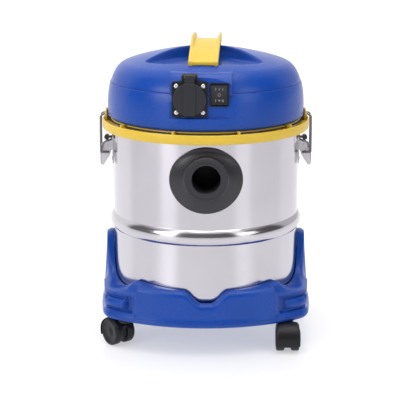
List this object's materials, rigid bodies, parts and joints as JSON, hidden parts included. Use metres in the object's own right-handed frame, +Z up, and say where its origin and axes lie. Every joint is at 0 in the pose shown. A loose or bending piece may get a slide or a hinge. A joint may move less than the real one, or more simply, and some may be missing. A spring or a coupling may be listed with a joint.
{
  "type": "shop vacuum",
  "caption": "Wet and dry shop vacuum: polished steel drum on a moulded caster dolly, latched motor head with carrying handle, tool socket and switch.",
  "frame": {"origin": "on the floor under the drum's axis", "axes": "+Z up along the drum's axis, -Y towards the hose inlet and the control panel"},
  "size_m": [0.3232, 0.317, 0.4592],
  "materials": {
    "blue_shell": "glossy moulded plastic, royal blue",
    "yellow_trim": "glossy moulded plastic, warm yellow",
    "drum_steel": "polished stainless sheet",
    "latch_steel": "bright zinc-plated steel",
    "screw_steel": "plated steel",
    "black_plastic": "satin black plastic",
    "socket_black": "fine textured black plastic",
    "seal_rubber": "soft rubber",
    "bush_nylon": "natural nylon",
    "cast_aluminium": "die-cast aluminium",
    "motor_core": "laminated steel and windings",
    "grey_plastic": "grey moulded plastic",
    "filter_paper": "pleated filter paper",
    "caster_hood": "satin black plastic",
    "caster_wheel": "dark grey hard plastic"
  },
  "bodies": {
    "base": {"base_shell": "blue_shell", "caster_bushes": "bush_nylon", "drum": "drum_steel", "drum_screws": "screw_steel", "inlet_fitting": "black_plastic", "inlet_gasket": "seal_rubber", "inlet_nut": "black_plastic", "inlet_deflector": "black_plastic", "latch_plates": "latch_steel", "latch_rivets": "latch_steel", "latch_pins": "latch_steel"},
    "head": {"collar_ring": "yellow_trim", "lid_gasket": "seal_rubber", "motor_housing": "blue_shell", "top_cover": "blue_shell", "handle": "yellow_trim", "head_screws": "screw_steel", "socket_plate": "socket_black", "socket_insert": "socket_black", "lid_pin": "screw_steel", "socket_screws": "screw_steel", "switch_frame": "socket_black", "cord_gland": "black_plastic", "exhaust_grille": "black_plastic", "fan_housing": "cast_aluminium", "stator": "motor_core", "motor_gasket": "seal_rubber", "bearings": "screw_steel", "filter_cage": "grey_plastic", "filter_cartridge": "filter_paper", "filter_clamp": "grey_plastic", "control_module": "socket_black"},
    "rotor": {"motor_shaft": "screw_steel", "armature": "motor_core", "impeller": "cast_aluminium", "cooling_fan": "grey_plastic"},
    "float": {"float": "grey_plastic"},
    "socket_lid": {"socket_lid": "socket_black"},
    "switch_rocker": {"switch_rocker": "socket_black"},
    "latch_lever_left": {"latch_lever_left": "latch_steel"},
    "latch_lever_right": {"latch_lever_right": "latch_steel"},
    "bail_left": {"bail_left": "latch_steel"},
    "bail_right": {"bail_right": "latch_steel"},
    "caster_front_left": {"caster_front_left_hood": "caster_hood", "caster_front_left_pins": "screw_steel"},
    "wheel_front_left_a": {"caster_front_left_wheel_a": "caster_wheel"},
    "wheel_front_left_b": {"caster_front_left_wheel_b": "caster_wheel"},
    "caster_front_right": {"caster_front_right_hood": "caster_hood", "caster_front_right_pins": "screw_steel"},
    "wheel_front_right_a": {"caster_front_right_wheel_a": "caster_wheel"},
    "wheel_front_right_b": {"caster_front_right_wheel_b": "caster_wheel"},
    "caster_rear_left": {"caster_rear_left_hood": "caster_hood", "caster_rear_left_pins": "screw_steel"},
    "wheel_rear_left_a": {"caster_rear_left_wheel_a": "caster_wheel"},
    "wheel_rear_left_b": {"caster_rear_left_wheel_b": "caster_wheel"},
    "caster_rear_right": {"caster_rear_right_hood": "caster_hood", "caster_rear_right_pins": "screw_steel"},
    "wheel_rear_right_a": {"caster_rear_right_wheel_a": "caster_wheel"},
    "wheel_rear_right_b": {"caster_rear_right_wheel_b": "caster_wheel"}
  },
  "joints": [
    {"name": "head_lift", "type": "slide", "parent": "base", "child": "head", "axis": [0, 0, 1], "range_m": [0, 0.2]},
    {"name": "rotor_spin", "type": "hinge", "parent": "head", "child": "rotor", "pos_m": [0, 0, 0.38], "axis": [0, 0, 1], "continuous": true},
    {"name": "float_rise", "type": "slide", "parent": "head", "child": "float", "axis": [0, 0, 1], "range_m": [0, 0.06]},
    {"name": "lid_open", "type": "hinge", "parent": "head", "child": "socket_lid", "pos_m": [-0.02367, -0.14596, 0.4155], "axis": [-0.9986, 0.0523, 0], "range_deg": [0, 110], "stiffness_Nm_per_rad": 0.01, "springref_deg": -20.05},
    {"name": "rocker_tilt", "type": "hinge", "parent": "head", "child": "switch_rocker", "pos_m": [0.01864, -0.14117, 0.3895], "axis": [-0.9986, 0.0523, 0], "range_deg": [-9, 9]},
    {"name": "latch_right", "type": "hinge", "parent": "base", "child": "latch_lever_right", "pos_m": [0.15, 0, 0.29], "axis": [0, -1, 0], "range_deg": [0, 120]},
    {"name": "bail_swing_right", "type": "hinge", "parent": "latch_lever_right", "child": "bail_right", "pos_m": [0.1485, 0, 0.2791], "axis": [0, -1, 0], "range_deg": [-140, 0.5]},
    {"name": "latch_left", "type": "hinge", "parent": "base", "child": "latch_lever_left", "pos_m": [-0.15, 0, 0.29], "axis": [0, 1, 0], "range_deg": [0, 120]},
    {"name": "bail_swing_left", "type": "hinge", "parent": "latch_lever_left", "child": "bail_left", "pos_m": [-0.1485, 0, 0.2791], "axis": [0, 1, 0], "range_deg": [-140, 0.5]},
    {"name": "swivel_front_left", "type": "hinge", "parent": "base", "child": "caster_front_left", "pos_m": [-0.122, -0.104, 0.045], "axis": [0, 0, 1], "continuous": true},
    {"name": "roll_front_left_a", "type": "hinge", "parent": "caster_front_left", "child": "wheel_front_left_a", "pos_m": [-0.13308, -0.08982, 0.0205], "axis": [-0.788, -0.6157, 0], "continuous": true},
    {"name": "roll_front_left_b", "type": "hinge", "parent": "caster_front_left", "child": "wheel_front_left_b", "pos_m": [-0.13308, -0.08982, 0.0205], "axis": [-0.788, -0.6157, 0], "continuous": true},
    {"name": "swivel_front_right", "type": "hinge", "parent": "base", "child": "caster_front_right", "pos_m": [0.122, -0.104, 0.045], "axis": [0, 0, 1], "continuous": true},
    {"name": "roll_front_right_a", "type": "hinge", "parent": "caster_front_right", "child": "wheel_front_right_a", "pos_m": [0.122, -0.122, 0.0205], "axis": [1, 0, 0], "continuous": true},
    {"name": "roll_front_right_b", "type": "hinge", "parent": "caster_front_right", "child": "wheel_front_right_b", "pos_m": [0.122, -0.122, 0.0205], "axis": [1, 0, 0], "continuous": true},
    {"name": "swivel_rear_left", "type": "hinge", "parent": "base", "child": "caster_rear_left", "pos_m": [-0.122, 0.104, 0.045], "axis": [0, 0, 1], "continuous": true},
    {"name": "roll_rear_left_a", "type": "hinge", "parent": "caster_rear_left", "child": "wheel_rear_left_a", "pos_m": [-0.12961, 0.12031, 0.0205], "axis": [-0.9063, -0.4226, 0], "continuous": true},
    {"name": "roll_rear_left_b", "type": "hinge", "parent": "caster_rear_left", "child": "wheel_rear_left_b", "pos_m": [-0.12961, 0.12031, 0.0205], "axis": [-0.9063, -0.4226, 0], "continuous": true},
    {"name": "swivel_rear_right", "type": "hinge", "parent": "base", "child": "caster_rear_right", "pos_m": [0.122, 0.104, 0.045], "axis": [0, 0, 1], "continuous": true},
    {"name": "roll_rear_right_a", "type": "hinge", "parent": "caster_rear_right", "child": "wheel_rear_right_a", "pos_m": [0.13045, 0.11989, 0.0205], "axis": [-0.8829, 0.4695, 0], "continuous": true},
    {"name": "roll_rear_right_b", "type": "hinge", "parent": "caster_rear_right", "child": "wheel_rear_right_b", "pos_m": [0.13045, 0.11989, 0.0205], "axis": [-0.8829, 0.4695, 0], "continuous": true}
  ],
  "couplings": [
    {"joint": "bail_swing_left", "follows": "latch_left", "ratio": -1.15},
    {"joint": "bail_swing_right", "follows": "latch_right", "ratio": -1.15}
  ]
}
